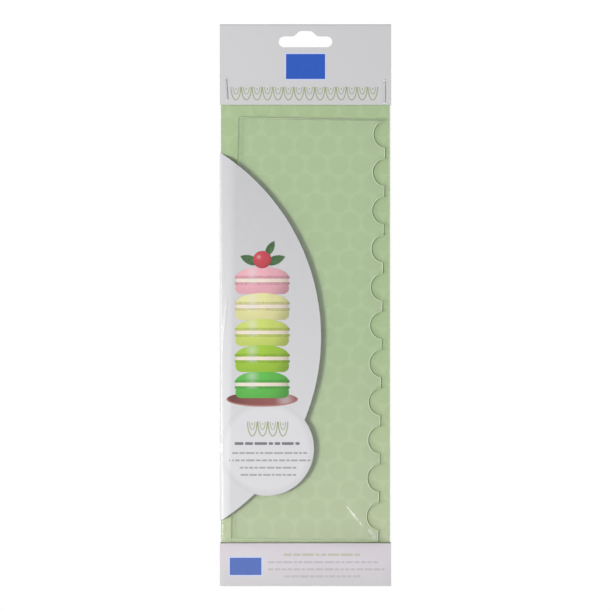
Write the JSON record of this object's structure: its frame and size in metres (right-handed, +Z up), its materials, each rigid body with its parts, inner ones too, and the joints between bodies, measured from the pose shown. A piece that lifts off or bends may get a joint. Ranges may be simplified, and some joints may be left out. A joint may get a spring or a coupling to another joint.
{
  "type": "cake side scraper",
  "caption": "Tall clear acrylic cake side scraper with one scalloped edge, loose in a stapled film bag with a printed card and a folded header with a hang slot.",
  "frame": {"origin": "where a peg bears in the hang slot: top of the slot's crown, on the pack's centre line, in the plane of the bag's rear face", "axes": "+Z up the pack, +X to the right as seen from the front, +Y from the front to the back; the printed front faces -Y"},
  "size_m": [0.103, 0.0057, 0.3377],
  "materials": {
    "acrylic": "clear, polished",
    "film": "clear, glossy",
    "green_card": "printed, satin",
    "white_board": "coated, satin",
    "white_print": "printed white on film",
    "steel_wire": "galvanised wire"
  },
  "bodies": {
    "pack": {"header_card": "white_board", "bag_front_film": "film", "bag_rear_film": "film", "insert_card": "green_card", "picture_panel": "white_print", "bottom_band": "white_print", "staple_left": "steel_wire", "staple_right": "steel_wire"},
    "scraper": {"scraper": "acrylic"}
  },
  "joints": [
    {"name": "scraper_slide", "type": "slide", "parent": "pack", "child": "scraper", "axis": [0, 0, 1], "range_m": [0, 0.006]}
  ]
}
